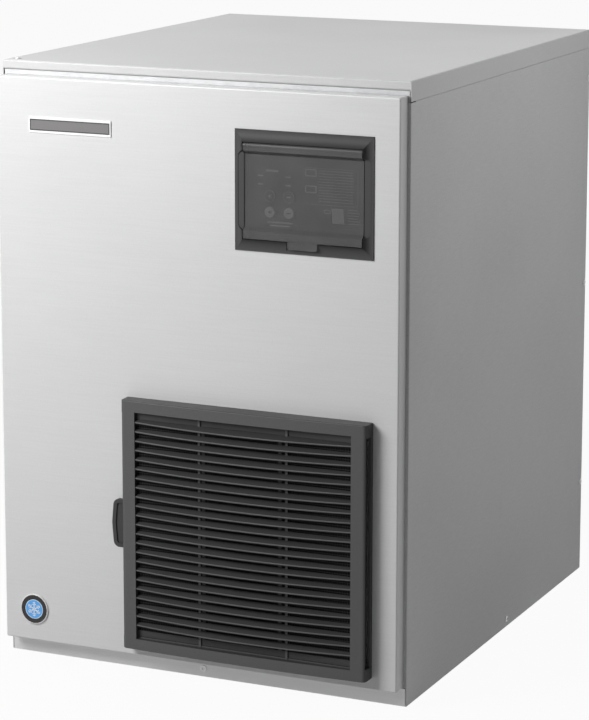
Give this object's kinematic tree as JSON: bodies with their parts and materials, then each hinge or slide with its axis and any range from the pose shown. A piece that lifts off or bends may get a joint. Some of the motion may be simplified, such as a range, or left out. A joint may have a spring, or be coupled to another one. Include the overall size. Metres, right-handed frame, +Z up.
{
  "type": "flake ice machine",
  "caption": "Air-cooled flake ice machine head in stainless steel, for standing on an ice bin, with a louvred air inlet, slide-out air filter and a hinged display cover",
  "frame": {"origin": "middle of the bounding box on the plane that the machine stands on", "axes": "+Z up, the front with the display and grille faces -Y, +X is to the right of someone facing the front"},
  "size_m": [0.5636, 0.7248, 0.7818],
  "materials": {
    "bearing_plastic": "machined",
    "black_paint": "semi gloss",
    "black_plastic": "fine grain",
    "black_rubber": "matt",
    "board": "solder mask",
    "brass_body": "machined",
    "button": "satin",
    "button_light": "satin",
    "cast_alloy": "as cast",
    "copper": "drawn",
    "dark_plastic": "fine grain",
    "fins": "thin fins",
    "foam": "cellular",
    "galvanised": "dull zinc",
    "hose": "smooth",
    "mesh": "fine mesh",
    "panel_print": "satin",
    "plate_grey": "satin",
    "screw_steel": "satin",
    "smoked_cover": "satin",
    "stainless": "brushed",
    "white_plastic": "satin"
  },
  "bodies": {
    "casing": {"auger_bearings": "bearing_plastic", "base_pan": "stainless", "cable_gland": "black_plastic", "casing_screws": "screw_steel", "circuit_board": "board", "compressor": "black_paint", "compressor_mounts": "black_rubber", "condenser": "fins", "control_box": "galvanised", "control_box_cover": "galvanised", "control_plate": "panel_print", "discharge_line": "copper", "display_bezel": "dark_plastic", "drain_fitting": "black_plastic", "drier": "copper", "drive_motor": "black_paint", "evaporator_coil": "copper", "evaporator_cylinder": "stainless", "expansion_valve": "brass_body", "extruding_head": "stainless", "fan_motor": "black_paint", "fan_motor_bracket": "galvanised", "fan_shroud": "galvanised", "front_cross_rail": "galvanised", "front_panel": "stainless", "gearbox": "cast_alloy", "ice_chute": "white_plastic", "ice_spout": "white_plastic", "inlet_valve": "brass_body", "insulation_sleeve": "foam", "left_side_panel": "stainless", "liquid_lines": "copper", "louver_frame": "dark_plastic", "lower_housing": "brass_body", "name_plate": "plate_grey", "power_switch_body": "black_plastic", "rear_panel": "galvanised", "right_side_panel": "stainless", "round_badge": "plate_grey", "suction_line": "copper", "switch_board": "board", "tank_bracket": "galvanised", "tank_lid": "white_plastic", "terminal_cover": "black_plastic", "top_panel": "stainless", "water_hoses": "hose", "water_tank": "white_plastic"},
    "display_cover": {"display_cover": "smoked_cover"},
    "power_rocker": {"power_rocker": "black_plastic"},
    "push_button_1": {"push_button_1": "button"},
    "push_button_2": {"push_button_2": "button"},
    "push_button_3": {"push_button_3": "button_light"},
    "push_button_4": {"push_button_4": "button_light"},
    "filter": {"filter_cassette": "black_plastic", "filter_mesh": "mesh"},
    "fan": {"fan": "black_plastic"},
    "auger": {"auger": "stainless", "ice_cutter": "stainless"},
    "tank_float": {"tank_float": "white_plastic"},
    "control_paddle": {"control_paddle": "white_plastic"}
  },
  "joints": [
    {"name": "display_cover_hinge", "type": "hinge", "parent": "casing", "child": "display_cover", "pos_m": [0.1504, -0.3417, 0.695], "axis": [-1, 0, 0], "range_deg": [0, 90]},
    {"name": "power_rocker_hinge", "type": "hinge", "parent": "casing", "child": "power_rocker", "pos_m": [0.1906, -0.3241, 0.613], "axis": [-1, 0, 0], "range_deg": [0, 16]},
    {"name": "push_button_1_slide", "type": "slide", "parent": "casing", "child": "push_button_1", "axis": [0, 1, 0], "range_m": [0, 0.0015], "stiffness_N_per_m": 300, "springref_m": -0.002},
    {"name": "push_button_2_slide", "type": "slide", "parent": "casing", "child": "push_button_2", "axis": [0, 1, 0], "range_m": [0, 0.0015], "stiffness_N_per_m": 300, "springref_m": -0.002},
    {"name": "push_button_3_slide", "type": "slide", "parent": "casing", "child": "push_button_3", "axis": [0, 1, 0], "range_m": [0, 0.0015], "stiffness_N_per_m": 300, "springref_m": -0.002},
    {"name": "push_button_4_slide", "type": "slide", "parent": "casing", "child": "push_button_4", "axis": [0, 1, 0], "range_m": [0, 0.0015], "stiffness_N_per_m": 300, "springref_m": -0.002},
    {"name": "filter_slide", "type": "slide", "parent": "casing", "child": "filter", "axis": [-1, 0, 0], "range_m": [0, 0.3]},
    {"name": "fan_shaft", "type": "hinge", "parent": "casing", "child": "fan", "pos_m": [0.0746, -0.2217, 0.173], "axis": [0, 1, 0], "continuous": true},
    {"name": "auger_shaft", "type": "hinge", "parent": "casing", "child": "auger", "pos_m": [-0.082, 0.0153, 0.1515], "axis": [0, 0, 1], "continuous": true},
    {"name": "tank_float_slide", "type": "slide", "parent": "casing", "child": "tank_float", "axis": [0, 0, 1], "range_m": [0, 0.025]},
    {"name": "control_paddle_hinge", "type": "hinge", "parent": "casing", "child": "control_paddle", "pos_m": [-0.212, 0.0153, 0.5135], "axis": [0, 1, 0], "range_deg": [0, 22]}
  ]
}
